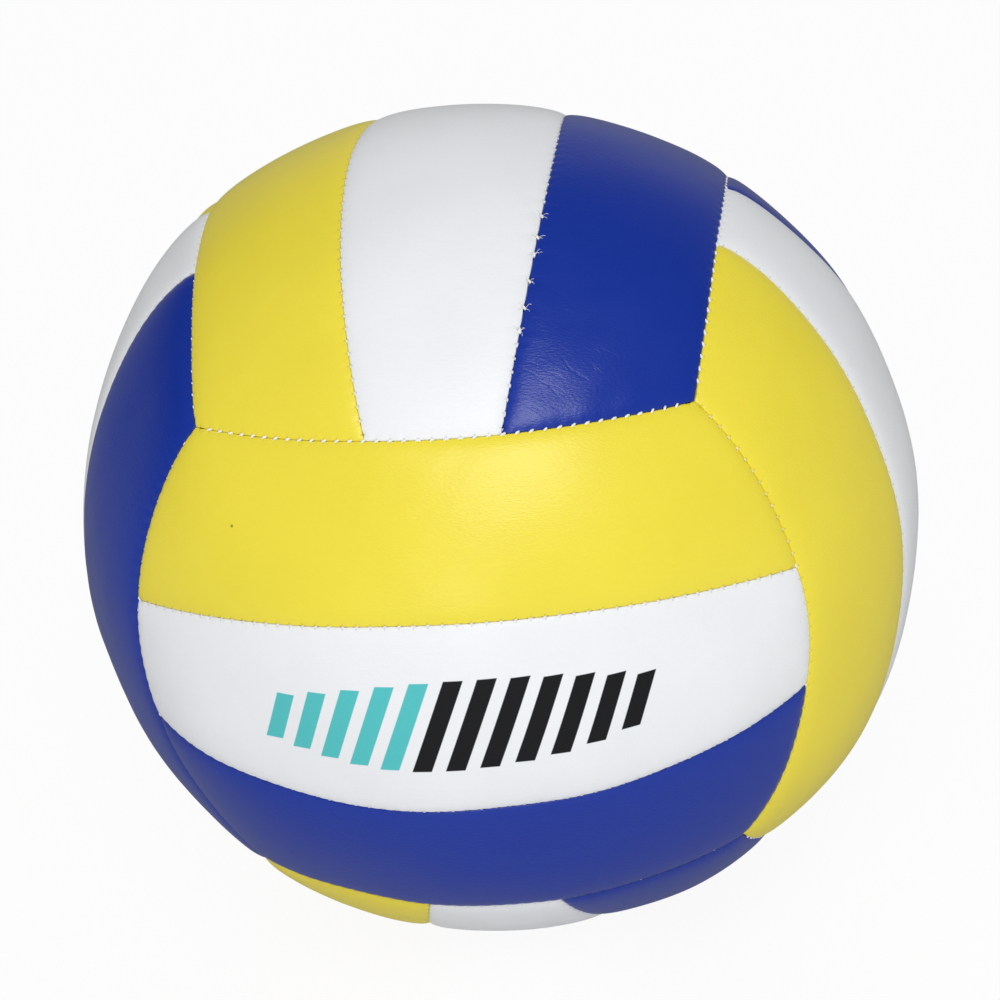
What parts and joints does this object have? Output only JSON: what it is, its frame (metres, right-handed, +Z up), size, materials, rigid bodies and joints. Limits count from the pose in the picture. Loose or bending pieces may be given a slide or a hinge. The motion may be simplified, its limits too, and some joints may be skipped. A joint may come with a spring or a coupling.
{
  "type": "volleyball",
  "caption": "Machine-sewn beach volleyball: foam-backed panels in faces of three strips, over a lining and a rubber bladder, with a needle valve.",
  "frame": {"origin": "the ball's centre", "axes": "+Z up through the middle of the top face; -Y through the middle of the front face; the valve looks along +Y"},
  "size_m": [0.2132, 0.2131, 0.213],
  "materials": {
    "yellow_skin": "soft satin, fine pebble grain",
    "white_skin": "soft satin, fine pebble grain",
    "blue_skin": "soft satin, fine pebble grain",
    "foam": "closed-cell foam",
    "woven_lining": "plain weave",
    "sewing_thread": "waxed polyester thread",
    "bladder_rubber": "moulded butyl rubber",
    "valve_rubber": "moulded rubber",
    "valve_core_rubber": "moulded soft rubber"
  },
  "bodies": {
    "ball": {"top_left_panel": "yellow_skin", "top_middle_panel": "white_skin", "top_right_panel": "blue_skin", "bottom_left_panel": "yellow_skin", "bottom_middle_panel": "white_skin", "bottom_right_panel": "blue_skin", "front_upper_panel": "yellow_skin", "front_middle_panel": "white_skin", "front_lower_panel": "blue_skin", "back_upper_panel": "yellow_skin", "back_middle_panel": "white_skin", "back_lower_panel": "blue_skin", "right_front_panel": "yellow_skin", "right_middle_panel": "white_skin", "right_rear_panel": "blue_skin", "left_rear_panel": "yellow_skin", "left_middle_panel": "white_skin", "left_front_panel": "blue_skin", "top_left_foam": "foam", "top_middle_foam": "foam", "top_right_foam": "foam", "bottom_left_foam": "foam", "bottom_middle_foam": "foam", "bottom_right_foam": "foam", "front_upper_foam": "foam", "front_middle_foam": "foam", "front_lower_foam": "foam", "back_upper_foam": "foam", "back_middle_foam": "foam", "back_lower_foam": "foam", "right_front_foam": "foam", "right_middle_foam": "foam", "right_rear_foam": "foam", "left_rear_foam": "foam", "left_middle_foam": "foam", "left_front_foam": "foam", "top_lining": "woven_lining", "bottom_lining": "woven_lining", "front_lining": "woven_lining", "back_lining": "woven_lining", "right_lining": "woven_lining", "left_lining": "woven_lining", "top_strip_thread": "sewing_thread", "bottom_strip_thread": "sewing_thread", "front_strip_thread": "sewing_thread", "back_strip_thread": "sewing_thread", "right_strip_thread": "sewing_thread", "left_strip_thread": "sewing_thread", "top_end_thread": "sewing_thread", "bottom_end_thread": "sewing_thread", "front_end_thread": "sewing_thread", "back_end_thread": "sewing_thread", "right_end_thread": "sewing_thread", "left_end_thread": "sewing_thread", "closing_thread": "sewing_thread", "bladder": "bladder_rubber", "valve_patch": "woven_lining", "valve_body": "valve_rubber"},
    "core": {"valve_core": "valve_core_rubber"}
  },
  "joints": [
    {"name": "core_pull", "type": "slide", "parent": "ball", "child": "core", "axis": [0, 1, 0], "range_m": [0, 0.02]}
  ]
}
